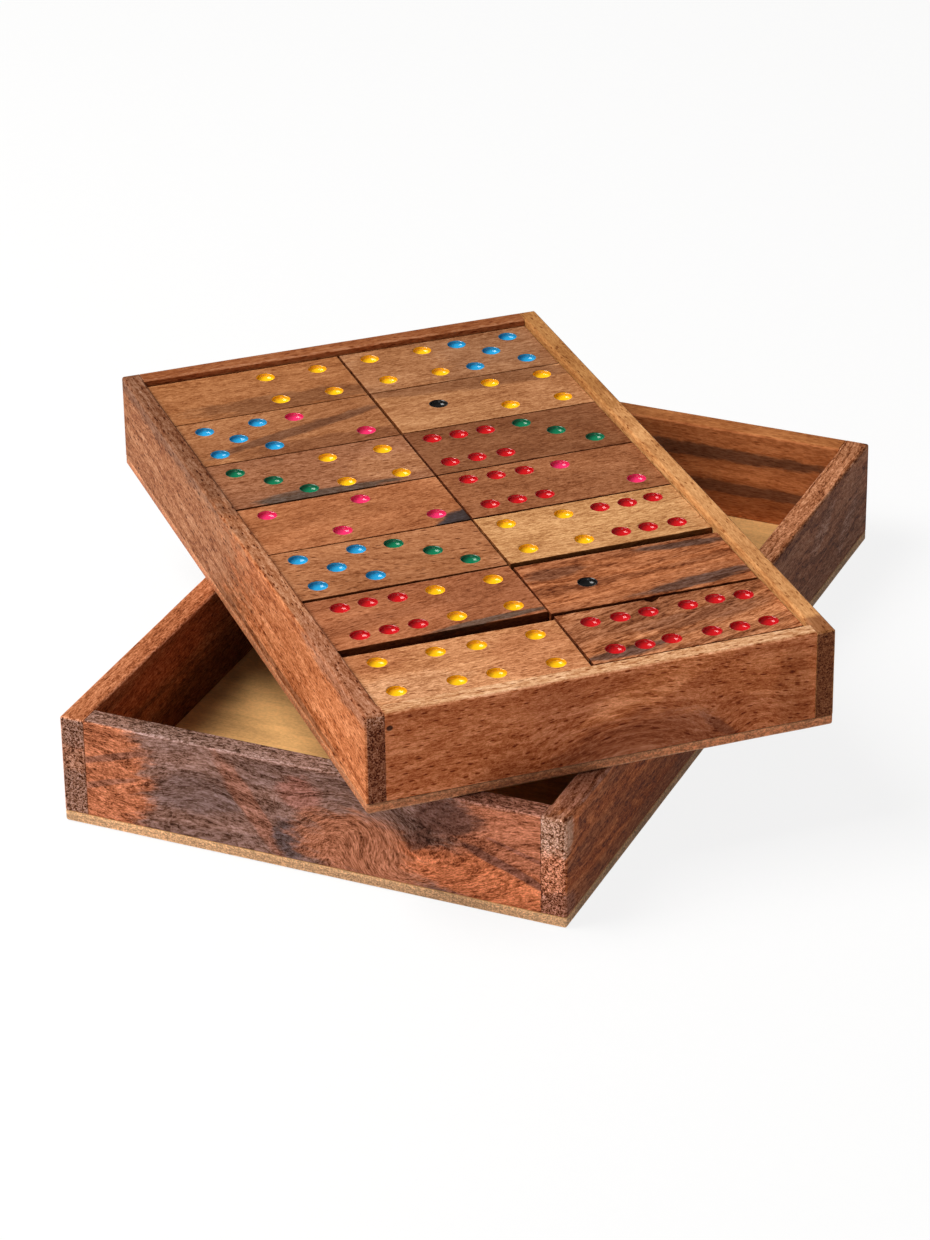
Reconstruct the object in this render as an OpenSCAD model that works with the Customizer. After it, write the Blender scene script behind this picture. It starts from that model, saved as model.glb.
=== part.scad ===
// Domino storage box: a shallow wooden tray of dominoes and the deep wooden cover that it stores in.
// The cover lies with its panel down and its open side up. The tray is set down across its rim,
// turned about the upright axis, with two layers of dominoes in two columns.
// Millimetres, +Z up. The origin is the centre of the cover's underside, and its long sides run along Y.

/* [Dominoes] */
// Length of one domino
domino_length = 48.65; // [44:0.05:60]
// Width of one domino
domino_width = 23.6; // [21:0.1:30]
// Thickness of one domino
domino_thickness = 9.65; // [6:0.05:14]
// Chamfer along the long and short edges of a domino
domino_edge = 0.4; // [0.1:0.05:0.9]
// Chamfer down the four upright corners of a domino
domino_corner = 0.7; // [0.1:0.05:1.5]

/* [Pips] */
// Diameter of a pip at the domino's face
pip_diameter = 4.6; // [3:0.1:5.4]
// Depth of a pip's bowl
pip_depth = 1.3; // [0.5:0.1:1.5]
// Distance between the rows of pips, and between their columns
pip_spacing = 6.7; // [6:0.1:7.4]
// Distance between the middles of a domino's two halves
half_spacing = 22.4; // [21:0.1:24]

/* [Tray] */
// Thickness of the tray's four walls
tray_wall = 4.4; // [3:0.1:8]
// Thickness of the tray's plywood floor
tray_floor_thickness = 2.5; // [1.5:0.1:5]
// Spare width beside the two columns of dominoes
tray_side_slack = 0.8; // [0.8:0.1:5]
// Spare length beyond a full column of dominoes
tray_end_slack = 6.9; // [6:0.1:15]
// Depth left between the upper dominoes and the tray's rim
tray_headroom = 1.7; // [0.5:0.1:6]

/* [Cover] */
// Thickness of the cover's four walls
cover_wall = 5.9; // [4:0.1:10]
// Thickness of the cover's plywood panel
cover_panel_thickness = 2.8; // [1.5:0.1:5]
// Space on each long side between the stored tray and the cover
cover_side_gap = 0.55; // [0.3:0.05:3]
// Space at each end between the stored tray and the cover
cover_end_gap = 1.9; // [0.3:0.1:5]
// Space between the stored tray and the cover's panel
cover_depth_gap = 0.2; // [0:0.1:3]

/* [Edges] */
// Chamfer along the outer edges and the rims of the tray and the cover
box_edge = 0.5; // [0.1:0.1:1.2]

/* [Tray on the cover] */
// Turn of the tray about the upright axis
tray_turn = 43.5; // [20:0.5:70]
// Shift of the tray's centre towards the cover's right side
tray_shift_x = -3.2; // [-8:0.1:8]
// Shift of the tray's centre towards the cover's back
tray_shift_y = -9.3; // [-16:0.1:16]

/* [Hidden] */
$fn = 48;

// Pip counts of the dominoes, left half then right half. One list for each layer, lower then upper,
// in it one for each column, left then right, and in that one for each row, from the back wall forward.
DOMINOES = [
    [
        [[0, 2], [0, 3], [0, 5], [0, 6], [1, 1], [1, 2], [1, 3]],
        [[1, 5], [1, 6], [2, 3], [2, 4], [3, 3], [5, 5], [5, 6]]
    ],
    [
        [[0, 4], [5, 2], [3, 4], [2, 2], [5, 3], [6, 4], [4, 4]],
        [[4, 5], [1, 4], [6, 3], [6, 2], [4, 6], [1, 0], [6, 6]]
    ]
];
layers = len(DOMINOES);
columns = len(DOMINOES[0]);
rows = len(DOMINOES[0][0]);

// Space behind each domino of a column, as a share of the spare length
ROW_GAPS = [
    [0.04, 0.02, 0.03, 0.07, 0.04, 0.1, 0.5],
    [0.02, 0.02, 0.03, 0.04, 0.06, 0.32, 0.13]
];
// Place of each domino in its half of the spare width: 0 at the centre line, 1 at the tray's wall
SIDE_SHARES = [
    [0.25, 0.5, 0.25, 0.25, 0.5, 0.15, 0.3],
    [0.8, 0.8, 0.5, 0.7, 0.6, 0.6, 0.8]
];
// How far each upper domino lies askew, in degrees
TURNS = [
    [0, 0, 0, 0.3, 0, 0.6, -0.6],
    [0, 0, 0, 0, 0.4, -0.5, 0]
];
// How far each upper domino's pips were drilled off its centre, along it and across it
PIP_DRIFT = [
    [[-0.4, 0], [-0.5, -0.1], [-0.3, -0.4], [-0.1, 0.5], [-0.3, 0.7], [0.6, 0.2], [0.1, 0.3]],
    [[0.3, 0.8], [0.4, 0.6], [-0.8, 0.5], [-0.2, 0.5], [0, 0.4], [-0.2, -0.3], [0.3, -0.3]]
];

// Places of the pips for each count, in steps of the pip spacing along and across the domino
PIP_PLACES = [
    [],
    [[0, 0]],
    [[-1, 1], [1, -1]],
    [[-1, 1], [0, 0], [1, -1]],
    [[-1, 1], [1, 1], [-1, -1], [1, -1]],
    [[-1, 1], [1, 1], [0, 0], [-1, -1], [1, -1]],
    [[-1, 1], [0, 1], [1, 1], [-1, -1], [0, -1], [1, -1]]
];

tray_inner = [columns * domino_length + tray_side_slack, rows * domino_width + tray_end_slack];
tray_size = [
    tray_inner.x + 2 * tray_wall,
    tray_inner.y + 2 * tray_wall,
    tray_floor_thickness + layers * domino_thickness + tray_headroom
];
cover_size = [
    tray_size.x + 2 * (cover_side_gap + cover_wall),
    tray_size.y + 2 * (cover_end_gap + cover_wall),
    cover_panel_thickness + cover_depth_gap + tray_size.z
];
domino_size = [domino_length, domino_width, domino_thickness];

// Colours of the woods
HEARTWOOD = [0.42, 0.27, 0.21];
SIDEWOOD = [0.67, 0.41, 0.25];
SAPWOOD = [0.80, 0.61, 0.38];
PLYWOOD = [0.78, 0.63, 0.45];
REDWOOD = [0.55, 0.33, 0.23];
// Colour of the dominoes in each column, from the back wall forward
DOMINO_WOODS = [
    [SIDEWOOD, SAPWOOD, REDWOOD, SIDEWOOD, REDWOOD, HEARTWOOD, SIDEWOOD],
    [SIDEWOOD, SIDEWOOD, HEARTWOOD, REDWOOD, SAPWOOD, REDWOOD, HEARTWOOD]
];

function domino_name(counts) = str("domino_", counts[0], "_", counts[1]);
// Sum of a list's values up to and with the given place
function sum_to(list, last) = last < 0 ? 0 : list[last] + sum_to(list, last - 1);
function domino_x(column, row) =
    (2 * column - 1) * (domino_length + SIDE_SHARES[column][row] * tray_side_slack) / 2;
function domino_y(column, row) =
    tray_inner.y / 2 - sum_to(ROW_GAPS[column], row) * tray_end_slack - (row + 0.5) * domino_width;
function is_upper(layer) = layer == layers - 1;
function pip_drift(layer, column, row) = is_upper(layer) ? PIP_DRIFT[column][row] : [0, 0];
function turn(layer, column, row) = is_upper(layer) ? TURNS[column][row] : 0;

// Rectangle about the origin with its four corners cut off at 45 degrees
module cut_rectangle(width, height, cut) {
    x = width / 2;
    y = height / 2;
    polygon([
        [cut - x, -y], [x - cut, -y], [x, cut - y], [x, y - cut],
        [x - cut, y], [cut - x, y], [-x, y - cut], [-x, cut - y]
    ]);
}

// Block standing on Z = 0, with its edges and its upright corners chamfered
module chamfered_block(size, edge, corner) {
    intersection() {
        linear_extrude(size.z) cut_rectangle(size.x, size.y, corner);
        translate([0, size.y / 2, size.z / 2])
            rotate([90, 0, 0]) linear_extrude(size.y) cut_rectangle(size.x, size.z, edge);
        translate([-size.x / 2, 0, size.z / 2])
            rotate([90, 0, 90]) linear_extrude(size.x) cut_rectangle(size.y, size.z, edge);
    }
}

// Section of the chamfer at a rim: as wide as the opening at Y = 0, wider above it
module rim_section(width) {
    x = width / 2;
    polygon([[-x, 0], [x, 0], [x + 2 * box_edge, 2 * box_edge], [-x - 2 * box_edge, 2 * box_edge]]);
}

// Space inside a box's four walls, with the chamfer of its rim
module box_opening(size, wall) {
    width = size.x - 2 * wall;
    length = size.y - 2 * wall;
    translate([-width / 2, -length / 2, -1]) cube([width, length, size.z + 2]);
    translate([0, 0, size.z - box_edge])
        intersection() {
            rotate([90, 0, 0]) linear_extrude(size.y, center = true) rim_section(width);
            rotate([90, 0, 90]) linear_extrude(size.x, center = true) rim_section(length);
        }
}

// Floor or panel of a box: it covers the whole outline, under the walls
module box_base(size, base) {
    intersection() {
        chamfered_block(size, box_edge, box_edge);
        translate([-size.x / 2, -size.y / 2, 0]) cube([size.x, size.y, base]);
    }
}

// One long wall of a box, running its full length. Hand is -1 for the left wall and 1 for the right.
module side_wall(size, wall, base, hand) {
    difference() {
        intersection() {
            chamfered_block(size, box_edge, box_edge);
            translate([(hand * (size.x - wall) - wall) / 2, -size.y / 2, base])
                cube([wall, size.y, size.z - base]);
        }
        box_opening(size, wall);
    }
}

// One short wall of a box, set between the long ones. Hand is -1 for the front wall and 1 for the back.
module end_wall(size, wall, base, hand) {
    width = size.x - 2 * wall;
    difference() {
        intersection() {
            chamfered_block(size, box_edge, box_edge);
            translate([-width / 2, (hand * (size.y - wall) - wall) / 2, base])
                cube([width, wall, size.z - base]);
        }
        box_opening(size, wall);
    }
}

// Moves what belongs to the tray from the origin to its place on the cover's rim
module on_cover() {
    translate([tray_shift_x, tray_shift_y, cover_size.z]) rotate(tray_turn) children();
}

module cover_panel() {
    color(PLYWOOD) box_base(cover_size, cover_panel_thickness);
}

module cover_side_wall(hand) {
    color(hand < 0 ? SIDEWOOD : HEARTWOOD)
        side_wall(cover_size, cover_wall, cover_panel_thickness, hand);
}

module cover_end_wall(hand) {
    color(hand < 0 ? HEARTWOOD : REDWOOD)
        end_wall(cover_size, cover_wall, cover_panel_thickness, hand);
}

module tray_floor() {
    color(PLYWOOD) on_cover() box_base(tray_size, tray_floor_thickness);
}

module tray_side_wall(hand) {
    color(hand < 0 ? SIDEWOOD : SAPWOOD)
        on_cover() side_wall(tray_size, tray_wall, tray_floor_thickness, hand);
}

module tray_end_wall(hand) {
    color(hand < 0 ? SAPWOOD : REDWOOD)
        on_cover() end_wall(tray_size, tray_wall, tray_floor_thickness, hand);
}

// Ball whose lower cap is a pip's bowl, with the bowl's mouth at Z = 0
module pip_cutter() {
    ball_radius = (pow(pip_diameter / 2, 2) + pow(pip_depth, 2)) / (2 * pip_depth);
    translate([0, 0, ball_radius - pip_depth]) sphere(r = ball_radius);
}

module half_pips(count) {
    for (place = PIP_PLACES[count])
        translate([place.x * pip_spacing, place.y * pip_spacing, 0]) pip_cutter();
}

module domino(layer, column, row) {
    counts = DOMINOES[layer][column][row];
    drift = pip_drift(layer, column, row);
    base = tray_floor_thickness + layer * domino_thickness;
    color(DOMINO_WOODS[column][row])
        on_cover()
        translate([domino_x(column, row), domino_y(column, row), base])
        rotate(turn(layer, column, row))
        difference() {
            chamfered_block(domino_size, domino_edge, domino_corner);
            translate([drift.x, drift.y, domino_thickness]) {
                translate([-half_spacing / 2, 0, 0]) half_pips(counts[0]);
                translate([half_spacing / 2, 0, 0]) half_pips(counts[1]);
            }
        }
}

cover_panel();
cover_side_wall(-1);  // cover_left_wall
cover_side_wall(1);  // cover_right_wall
cover_end_wall(-1);  // cover_front_wall
cover_end_wall(1);  // cover_back_wall
tray_floor();
tray_side_wall(-1);  // tray_left_wall
tray_side_wall(1);  // tray_right_wall
tray_end_wall(-1);  // tray_front_wall
tray_end_wall(1);  // tray_back_wall
for (layer = [0:layers - 1], column = [0:columns - 1], row = [0:rows - 1])
    domino(layer, column, row);
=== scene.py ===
from math import atan2, cos, pi, radians, sin

import bmesh
import bpy
import numpy as np
from mathutils import Matrix, Vector, noise


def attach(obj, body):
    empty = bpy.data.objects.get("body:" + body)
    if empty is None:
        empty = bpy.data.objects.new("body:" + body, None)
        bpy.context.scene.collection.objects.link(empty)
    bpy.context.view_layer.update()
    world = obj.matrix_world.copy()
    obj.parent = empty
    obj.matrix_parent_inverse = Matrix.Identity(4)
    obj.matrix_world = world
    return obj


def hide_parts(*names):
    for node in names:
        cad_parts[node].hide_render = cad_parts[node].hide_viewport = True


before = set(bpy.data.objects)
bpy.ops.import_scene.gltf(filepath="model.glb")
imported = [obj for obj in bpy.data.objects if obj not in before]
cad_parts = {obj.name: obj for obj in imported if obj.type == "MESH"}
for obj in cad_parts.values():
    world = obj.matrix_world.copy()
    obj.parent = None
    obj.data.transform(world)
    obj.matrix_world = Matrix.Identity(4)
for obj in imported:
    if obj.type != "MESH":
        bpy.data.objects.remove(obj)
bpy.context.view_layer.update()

# A millimetre in the frame's metres
MM = 0.001


# ---------------------------------------------------------------------------------------------
# Cover panel. A sheet of thin birch-faced plywood, cut to the cover's outline and glued under
# its walls. Handling has worn its upright corners round, and its sawn edge shows a darker core.

# How far apart the high places of a sanded face lie
SWELL = 9 * MM


def own_turn(node):
    """Angle about Z of the way in which a node is longest, from the outline of its underside."""
    points = np.array([v.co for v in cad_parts[node].data.vertices])
    lowest = points[:, 2].min()
    outline = np.unique(points[points[:, 2] < lowest + 0.1 * MM].round(6), axis=0)[:, :2]
    spread = np.cov(outline.T)
    return atan2(2 * spread[0, 1], spread[0, 0] - spread[1, 1]) / 2


def own_box(node, turn):
    """Centre and size of a node, measured square to its own sides."""
    level = Matrix.Rotation(-turn, 4, "Z")
    corners = [level @ v.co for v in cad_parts[node].data.vertices]
    low, high = Vector(map(min, zip(*corners))), Vector(map(max, zip(*corners)))
    return Matrix.Rotation(turn, 4, "Z") @ ((low + high) / 2), high - low


def upright_edges(mesh, height):
    """The edges of a mesh that rise by more than a height."""
    return [e for e in mesh.edges if abs(e.verts[0].co.z - e.verts[1].co.z) > height]


def sharp_edges(mesh, angle):
    """The edges of a mesh whose faces meet at more than an angle in degrees."""
    return [e for e in mesh.edges if e.calc_face_angle(0) > radians(angle)]


def rounded(mesh, edges, width, steps, clamped=False):
    """Rounds edges of a mesh to a width, in a number of flat steps."""
    bmesh.ops.bevel(
        mesh, geom=edges, offset=width, segments=steps, profile=0.5, affect="EDGES", clamp_overlap=clamped
    )


def slice_at(mesh, place, direction):
    """Cuts the faces of a mesh where a plane meets them, and keeps both sides."""
    everything = mesh.verts[:] + mesh.edges[:] + mesh.faces[:]
    bmesh.ops.bisect_plane(mesh, geom=everything, plane_co=place, plane_no=direction)


def slice_evenly(mesh, turn, centre, size, step):
    """Cuts a mesh across at even steps along its own three directions, so that it can be uneven."""
    for axis in range(3):
        direction = Matrix.Rotation(turn, 3, "Z").col[axis].copy()
        cuts = int(size[axis] / step[axis])
        for i in range(1, cuts):
            slice_at(mesh, centre + direction * size[axis] * (i / cuts - 0.5), direction)


def worn_down(mesh, unit, depth_at):
    """Moves each point of a mesh inwards by its own depth, in a unit of length."""
    mesh.normal_update()
    shifts = [(v, -v.normal * unit * depth_at(v)) for v in mesh.verts]
    for v, shift in shifts:
        v.co += shift


def as_object(mesh, name):
    """A mesh under work, finished as a smooth object of the scene."""
    data = bpy.data.meshes.new(name)
    mesh.to_mesh(data)
    mesh.free()
    data.shade_smooth()
    piece = bpy.data.objects.new(name, data)
    bpy.context.scene.collection.objects.link(piece)
    return piece


def settle(piece, place=None):
    """Leaves the piece as one plain mesh at its place in the row frame, with no live modifier."""
    weighted = piece.modifiers.new("flat faces stay flat", "WEIGHTED_NORMAL")
    weighted.weight = 60
    bpy.context.view_layer.update()
    evaluated = piece.evaluated_get(bpy.context.evaluated_depsgraph_get())
    mesh = bpy.data.meshes.new_from_object(evaluated)
    if place is not None:
        mesh.transform(place)
    piece.modifiers.clear()
    piece.data = mesh
    return piece


def sanded_copy(node, turn, arris, unevenness, step, seed, corner=0.0):
    """A node's shape with its upright edges rounded by handling to corner, its sharp edges sanded round by
    arris, and its faces slightly uneven."""
    centre, size = own_box(node, turn)
    mesh = bmesh.new()
    mesh.from_mesh(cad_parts[node].data)
    bmesh.ops.remove_doubles(mesh, verts=mesh.verts, dist=0.001 * MM)
    bmesh.ops.dissolve_limit(mesh, angle_limit=radians(1), verts=mesh.verts, edges=mesh.edges)
    if corner:
        rounded(mesh, upright_edges(mesh, 0.9 * size.z), corner, 6)
    rounded(mesh, sharp_edges(mesh, 20), arris, 2, clamped=True)
    slice_evenly(mesh, turn, centre, size, step)
    worn_down(mesh, unevenness, lambda v: 0.5 + 0.5 * noise.noise(v.co / SWELL + Vector((seed, 0, 0))))
    return settle(as_object(mesh, node + "_wood"))


def add(tree, kind, inputs=None, **settings):
    """A node with its settings, and its inputs set or linked by socket name or number."""
    node = tree.nodes.new(kind)
    for key, value in settings.items():
        setattr(node, key, value)
    for key, value in (inputs or {}).items():
        if isinstance(value, bpy.types.NodeSocket):
            tree.links.new(value, node.inputs[key])
        else:
            node.inputs[key].default_value = value
    return node


def maths(tree, operation, *values):
    """The result of a Math node on the given values or sockets."""
    return add(tree, "ShaderNodeMath", dict(enumerate(values)), operation=operation).outputs[0]


def plus(tree, first, second):
    """Two values added together."""
    return maths(tree, "ADD", first, second)


def times(tree, first, second):
    """Two values multiplied together."""
    return maths(tree, "MULTIPLY", first, second)


def vector_maths(tree, operation, *vectors):
    """The result of a Vector Math node on the given vectors or sockets."""
    return add(tree, "ShaderNodeVectorMath", dict(enumerate(vectors)), operation=operation).outputs[0]


def vector_of(tree, x=0.0, y=0.0, z=0.0):
    """A vector put together from three values."""
    return add(tree, "ShaderNodeCombineXYZ", {0: x, 1: y, 2: z}).outputs[0]


def parts_of(tree, vector):
    """The three values that make up a vector."""
    return add(tree, "ShaderNodeSeparateXYZ", {0: vector}).outputs


def mixed(tree, share, first, second, blend="MIX"):
    """Colour between the first and the second, by a share from 0 to 1."""
    node = add(tree, "ShaderNodeMix", {0: share, 6: first, 7: second}, data_type="RGBA", blend_type=blend)
    return node.outputs[2]


def ranged(tree, value, low, high, to_low=0.0, to_high=1.0):
    """A value mapped smoothly from one range to another and held inside it."""
    inputs = {0: value, 1: low, 2: high, 3: to_low, 4: to_high}
    return add(tree, "ShaderNodeMapRange", inputs, interpolation_type="SMOOTHSTEP").outputs[0]


def clouds(tree, vector, scale, detail=2.0, roughness=0.5, distortion=0.0, output=0):
    """A Noise Texture over a vector that is first scaled by three numbers."""
    place = vector_maths(tree, "MULTIPLY", vector, scale)
    inputs = {"Vector": place, "Scale": 1.0, "Detail": detail, "Roughness": roughness}
    return add(tree, "ShaderNodeTexNoise", {**inputs, "Distortion": distortion}).outputs[output]


def new_group(name, inputs, outputs, kind="ShaderNodeTree"):
    """An empty node group with named sockets, and its two ends."""
    tree = bpy.data.node_groups.new(name, kind)
    for label, socket, value in inputs:
        made = tree.interface.new_socket(name=label, in_out="INPUT", socket_type="NodeSocket" + socket)
        if value is not None:
            made.default_value = value
    for label, socket in outputs:
        tree.interface.new_socket(name=label, in_out="OUTPUT", socket_type="NodeSocket" + socket)
    return tree, tree.nodes.new("NodeGroupInput").outputs, tree.nodes.new("NodeGroupOutput").inputs


def from_group(tree, group, **inputs):
    """What a node group gives inside another tree. Its inputs are named in lower case, without spaces."""
    values = {label.replace("_", " ").capitalize(): value for label, value in inputs.items()}
    return add(tree, tree.bl_idname.replace("NodeTree", "NodeGroup"), values, node_tree=group).outputs


def new_material(name, centre, turns, roughness, gloss=0.12):
    """A material whose pattern lies square to its piece: its tree, shader, place in mm and facing."""
    material = bpy.data.materials.new(name)
    material.use_nodes = True
    tree = material.node_tree
    shader = tree.nodes["Principled BSDF"]
    shader.inputs["Roughness"].default_value = roughness
    shader.inputs["Specular IOR Level"].default_value = gloss
    source = tree.nodes.new("ShaderNodeTexCoord").outputs
    lie = {"Vector": source["Object"], "Location": centre, "Rotation": turns, "Scale": (MM, MM, MM)}
    place = add(tree, "ShaderNodeMapping", lie, vector_type="TEXTURE").outputs[0]
    lie = {"Vector": source["Normal"], "Rotation": turns}
    facing = add(tree, "ShaderNodeMapping", lie, vector_type="TEXTURE").outputs[0]
    return material, tree, shader, place, facing


def coloured(tree, shader, colour, height, strength, depth):
    """Gives a shader its colour, and a bump of a strength and depth from a height."""
    bump = add(tree, "ShaderNodeBump", {"Height": height, "Strength": strength, "Distance": depth})
    tree.links.new(colour, shader.inputs["Base Color"])
    tree.links.new(bump.outputs[0], shader.inputs["Normal"])


def dressed(piece, material, body):
    """Puts the piece in its material and on its body."""
    piece.data.materials.clear()
    piece.data.materials.append(material)
    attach(piece, body)


veneer, given, result = new_group(
    "Veneer",
    [
        ("Vector", "Vector", None),
        ("Normal", "Vector", None),
        ("Face", "Color", (0.6, 0.4, 0.2, 1)),
        ("Edge", "Color", (0.5, 0.3, 0.17, 1)),
        ("Core", "Color", (0.4, 0.25, 0.13, 1)),
        ("Thickness", "Float", 2.8),
        ("Seed", "Float", 0.0),
    ],
    [("Color", "Color"), ("Height", "Float")],
)
moved = vector_maths(veneer, "ADD", given["Vector"], vector_of(veneer, given["Seed"], given["Seed"]))
cloudy = clouds(veneer, moved, (0.03, 0.09, 0.05), detail=3.0)
fibre = clouds(veneer, moved, (0.06, 1.4, 1.4), detail=3.0, roughness=0.65)
fleck = clouds(veneer, moved, (1.1, 1.5, 2.0), roughness=0.7)
grit = clouds(veneer, moved, (2.3, 2.3, 2.6), detail=1.0, roughness=0.6)
# The core ply takes the middle two fifths of the thickness
from_middle = maths(veneer, "DIVIDE", parts_of(veneer, given["Vector"])[2], given["Thickness"])
in_core = ranged(veneer, maths(veneer, "ABSOLUTE", from_middle), 0.24, 0.17)
edge_on = ranged(veneer, maths(veneer, "ABSOLUTE", parts_of(veneer, given["Normal"])[2]), 0.8, 0.5)
plies = mixed(veneer, edge_on, given["Face"], mixed(veneer, in_core, given["Edge"], given["Core"]))
fibrous = ranged(veneer, fibre, 0.3, 0.7, -0.06, 0.04)
flecked = ranged(veneer, fleck, 0.3, 0.7, -0.1, 0.08)
shade = plus(veneer, ranged(veneer, cloudy, 0.3, 0.7, 0.78, 1.14), plus(veneer, fibrous, flecked))
# The saw has torn the edge, so it is rougher in tone than the faces
torn = times(
    veneer, ranged(veneer, fleck, 0.35, 0.6, 0.85, 1.2), ranged(veneer, grit, 0.36, 0.64, 0.72, 1.3)
)
torn_edge = add(veneer, "ShaderNodeMix", {0: edge_on, 2: 1.0, 3: torn}).outputs[0]
shade = times(veneer, shade, torn_edge)
veneer.links.new(mixed(veneer, 1.0, plies, shade, "MULTIPLY"), result["Color"])
veneer.links.new(plus(veneer, fibre, fleck), result["Height"])


def plywood(name, node, turn, face, edge, core, seed):
    """Material of one plywood sheet."""
    centre, size = own_box(node, turn)
    material, tree, shader, place, facing = new_material(name, centre, (0, 0, turn), roughness=0.6)
    sheet = from_group(
        tree, veneer, vector=place, normal=facing, thickness=size.z / MM, face=(*face, 1), edge=(*edge, 1),
        core=(*core, 1), seed=seed,
    )
    coloured(tree, shader, sheet["Color"], sheet["Height"], strength=0.3, depth=0.1 * MM)
    return material


cover_panel = sanded_copy(
    "cover_panel", 0.0, arris=0.3 * MM, unevenness=0.08 * MM, step=(6 * MM, 6 * MM, 0.7 * MM), seed=1.0,
    corner=3.2 * MM,
)
cover_plywood = plywood(
    "cover plywood", "cover_panel", 0.0, face=(0.74, 0.405, 0.15), edge=(0.6, 0.345, 0.175),
    core=(0.5, 0.285, 0.15), seed=3.0,
)
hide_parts("cover_panel")
dressed(cover_panel, cover_plywood, "cover")


# ---------------------------------------------------------------------------------------------
# Cover walls. Four planks of rain tree, sawn and sanded: the two long ones run the full length,
# and the short ones are glued between them. The wood is mottled, with dark heart and red patches.

grain, given, result = new_group(
    "Rain-tree grain",
    [
        ("Vector", "Vector", None),
        ("Normal", "Vector", None),
        ("Light", "Color", (0.5, 0.2, 0.08, 1)),
        ("Dark", "Color", (0.25, 0.1, 0.05, 1)),
        ("Pith", "Vector", (0.0, 15.0, -40.0)),
        ("Figure width", "Float", 5.0),
        ("Figure", "Float", 0.7),
        ("Wave", "Float", 6.0),
        ("Fibre", "Float", 1.0),
        ("Pores", "Float", 1.0),
        ("Speckle", "Float", 0.3),
        ("Rim speckle", "Float", 0.0),
        ("Lines", "Float", 0.0),
        ("Line spacing", "Float", 1.3),
        ("Seed", "Float", 0.0),
    ],
    [
        ("Color", "Color"),
        ("Tone", "Float"),
        ("Height", "Float"),
        ("Rim", "Float"),
        ("Ends", "Float"),
        ("Front", "Float"),
        ("Back", "Float"),
        ("Edges", "Float"),
    ],
)
# Which side of the plank a point is on, and where it is on a sanded arris between two sides. A side
# begins and is full where a point faces it by these shares
BEGINS, FULL = 0.6, 0.9
facing = parts_of(grain, given["Normal"])
facing_along, facing_up, facing_out = [maths(grain, "ABSOLUTE", part) for part in facing]
steepest = maths(grain, "MAXIMUM", facing_along, maths(grain, "MAXIMUM", facing_up, facing_out))
ends = ranged(grain, facing_along, BEGINS, FULL)
rim = ranged(grain, facing[1], BEGINS, FULL)
grain.links.new(ends, result["Ends"])
grain.links.new(rim, result["Rim"])
grain.links.new(ranged(grain, facing[2], BEGINS, FULL), result["Front"])
grain.links.new(ranged(grain, facing[2], -BEGINS, -FULL), result["Back"])
grain.links.new(ranged(grain, steepest, 0.97, 0.8), result["Edges"])


def vector_length(tree, vector):
    """How long a vector is."""
    return add(tree, "ShaderNodeVectorMath", {0: vector}, operation="LENGTH").outputs["Value"]


def scaled(tree, vector, factor):
    """A vector made longer or shorter by a factor."""
    return add(tree, "ShaderNodeVectorMath", {0: vector, "Scale": factor}, operation="SCALE").outputs[0]


def stripes(tree, value, detail, roughness):
    """Light and dark by one value alone, from a noise in one dimension."""
    inputs = {"W": value, "Scale": 1.0, "Detail": detail, "Roughness": roughness}
    return add(tree, "ShaderNodeTexNoise", inputs, noise_dimensions="1D").outputs[0]


# Broad figure: rings round a pith that lies outside the plank, bent by a slow drift
seed_vector = vector_of(grain, given["Seed"], given["Seed"], given["Seed"])
seeded = vector_maths(grain, "ADD", given["Vector"], seed_vector)
drift = clouds(grain, seeded, (0.016, 0.05, 0.05), output="Color")
drift = scaled(grain, vector_maths(grain, "SUBTRACT", drift, (0.5, 0.5, 0.5)), given["Wave"])
wavy = vector_maths(grain, "ADD", given["Vector"], drift)
from_pith = vector_maths(grain, "SUBTRACT", wavy, given["Pith"])
radius = vector_length(grain, vector_maths(grain, "MULTIPLY", from_pith, (0.0, 1.0, 1.0)))
ring = maths(grain, "DIVIDE", radius, given["Figure width"])
bands = ranged(grain, stripes(grain, plus(grain, ring, given["Seed"]), 3.0, 0.6), 0.36, 0.64)
cloudy = ranged(grain, clouds(grain, seeded, (0.02, 0.07, 0.07), detail=3.0), 0.35, 0.65)
figure = plus(grain, times(grain, bands, 0.6), times(grain, cloudy, 0.4))
darkness = times(grain, figure, given["Figure"])
grain.links.new(mixed(grain, darkness, given["Light"], given["Dark"]), result["Color"])

# Fibres, in fine and coarse streaks
seeded_wavy = vector_maths(grain, "ADD", wavy, seed_vector)
fine = clouds(grain, seeded_wavy, (0.5, 2.5, 2.5), roughness=0.6)
coarse = clouds(grain, seeded_wavy, (0.07, 0.6, 0.6))
streaks = plus(
    grain, ranged(grain, fine, 0.36, 0.64, -0.27, 0.27), ranged(grain, coarse, 0.32, 0.68, -0.12, 0.12)
)
streaks = times(grain, streaks, given["Fibre"])

# Speckle, stronger on end grain and on a rough rim, with lighter worm-like strokes in it
rim_rough = times(grain, rim, given["Rim speckle"])
rough = plus(grain, plus(grain, given["Speckle"], times(grain, ends, 0.9)), rim_rough)
speckle = clouds(grain, seeded_wavy, (0.9, 1.9, 1.9), roughness=0.6, distortion=1.4)
mottle = times(grain, ranged(grain, speckle, 0.38, 0.62, -0.6, 0.6), rough)
worm = clouds(grain, seeded_wavy, (0.5, 1.1, 1.1), detail=1.0, distortion=0.8)
off_worm = maths(grain, "ABSOLUTE", maths(grain, "SUBTRACT", worm, 0.5))
worm = ranged(grain, off_worm, 0.05, 0.0, -0.25, 0.75)
mottle = plus(grain, mottle, times(grain, worm, times(grain, given["Speckle"], 0.6)))

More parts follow.
